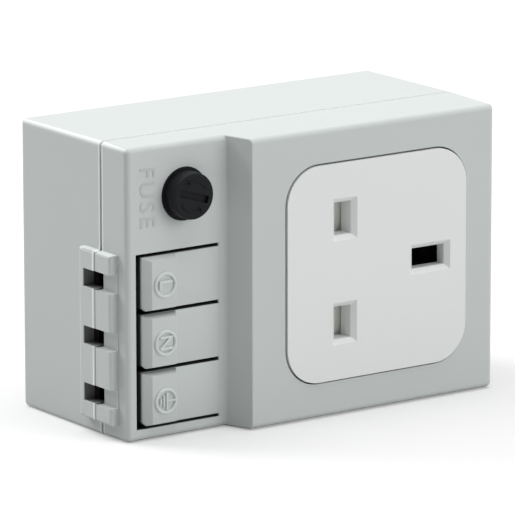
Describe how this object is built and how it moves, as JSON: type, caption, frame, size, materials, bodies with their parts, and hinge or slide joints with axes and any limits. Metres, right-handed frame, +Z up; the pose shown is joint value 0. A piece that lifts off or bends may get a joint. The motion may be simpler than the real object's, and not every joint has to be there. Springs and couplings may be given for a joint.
{
  "type": "din rail socket outlet",
  "caption": "Rail-mounted three-pin socket outlet in a grey casing, with a screw-cap fuse holder, lever-release wire clamps and side wire entries.",
  "frame": {"origin": "centre of the face that rests on the rail's front, between the hooks", "axes": "+X along the casing from the wire entries to the earth pin's side, +Z up as in the picture, +Y back towards the rail, so the socket face looks along -Y"},
  "size_m": [0.0918, 0.0548, 0.062],
  "materials": {
    "casing_plastic": "fine matt moulded surface",
    "insert_plastic": "satin moulded surface",
    "inner_plastic": "plain moulded",
    "shutter_plastic": "plain moulded",
    "latch_plastic": "plain moulded",
    "black_plastic": "satin black",
    "contact_brass": "stamped",
    "nickel_plate": "nickel plated",
    "spring_steel": "bright spring steel",
    "zinc_steel": "zinc plated",
    "fuse_glass": "clear",
    "fuse_element": "drawn wire"
  },
  "bodies": {
    "housing": {"rear_base": "casing_plastic", "front_cover": "casing_plastic", "socket_insert": "insert_plastic", "contact_carrier": "inner_plastic", "live_contact": "contact_brass", "neutral_contact": "contact_brass", "earth_contact": "contact_brass", "terminal_block": "black_plastic", "live_bar": "contact_brass", "neutral_bar": "contact_brass", "earth_bar": "contact_brass", "fuse_link_bar": "contact_brass", "fuse_holder": "black_plastic", "fuse_holder_nut": "black_plastic", "fuse_tip_contact": "nickel_plate", "fuse_side_contact": "nickel_plate", "casing_screws": "zinc_steel", "shutter_spring": "spring_steel", "latch_spring": "spring_steel"},
    "shutter": {"shutter": "shutter_plastic"},
    "fuse": {"fuse_glass": "fuse_glass", "fuse_end_caps": "nickel_plate", "fuse_wire": "fuse_element"},
    "fuse_cap": {"fuse_cap": "black_plastic", "fuse_cap_sleeve": "nickel_plate"},
    "rail_latch": {"rail_latch": "latch_plastic"},
    "live_lever": {"live_lever": "casing_plastic"},
    "live_clamp": {"live_clamp": "spring_steel"},
    "neutral_lever": {"neutral_lever": "casing_plastic"},
    "neutral_clamp": {"neutral_clamp": "spring_steel"},
    "earth_lever": {"earth_lever": "casing_plastic"},
    "earth_clamp": {"earth_clamp": "spring_steel"}
  },
  "joints": [
    {"name": "live_lever_press", "type": "hinge", "parent": "housing", "child": "live_lever", "pos_m": [-0.022, -0.0421, 0.00215], "axis": [0, 0, -1], "range_deg": [0, 9], "stiffness_Nm_per_rad": 0.5},
    {"name": "live_clamp_open", "type": "hinge", "parent": "housing", "child": "live_clamp", "pos_m": [-0.0264, -0.04, 0.00215], "axis": [0, 0, -1], "range_deg": [0, 13.1]},
    {"name": "neutral_lever_press", "type": "hinge", "parent": "housing", "child": "neutral_lever", "pos_m": [-0.022, -0.0421, -0.00996], "axis": [0, 0, -1], "range_deg": [0, 9], "stiffness_Nm_per_rad": 0.5},
    {"name": "neutral_clamp_open", "type": "hinge", "parent": "housing", "child": "neutral_clamp", "pos_m": [-0.0264, -0.04, -0.00996], "axis": [0, 0, -1], "range_deg": [0, 13.1]},
    {"name": "earth_lever_press", "type": "hinge", "parent": "housing", "child": "earth_lever", "pos_m": [-0.022, -0.0421, -0.02208], "axis": [0, 0, -1], "range_deg": [0, 9], "stiffness_Nm_per_rad": 0.5},
    {"name": "earth_clamp_open", "type": "hinge", "parent": "housing", "child": "earth_clamp", "pos_m": [-0.0264, -0.04, -0.02208], "axis": [0, 0, -1], "range_deg": [0, 13.1]},
    {"name": "shutter_slide", "type": "slide", "parent": "housing", "child": "shutter", "axis": [-1, 0, 0], "range_m": [0, 0.0055], "stiffness_N_per_m": 150, "deforming": ["shutter_spring"]},
    {"name": "fuse_draw", "type": "slide", "parent": "housing", "child": "fuse", "axis": [0, -1, 0], "range_m": [0, 0.028]},
    {"name": "fuse_cap_turn", "type": "hinge", "parent": "fuse", "child": "fuse_cap", "pos_m": [-0.0305, -0.04, 0.0199], "axis": [0, -1, 0], "range_deg": [0, 60]},
    {"name": "rail_latch_slide", "type": "slide", "parent": "housing", "child": "rail_latch", "axis": [-1, 0, 0], "range_m": [0, 0.003], "stiffness_N_per_m": 1500, "deforming": ["latch_spring"]}
  ],
  "couplings": [
    {"joint": "live_clamp_open", "follows": "live_lever_press", "ratio": 1.45},
    {"joint": "neutral_clamp_open", "follows": "neutral_lever_press", "ratio": 1.45},
    {"joint": "earth_clamp_open", "follows": "earth_lever_press", "ratio": 1.45}
  ]
}
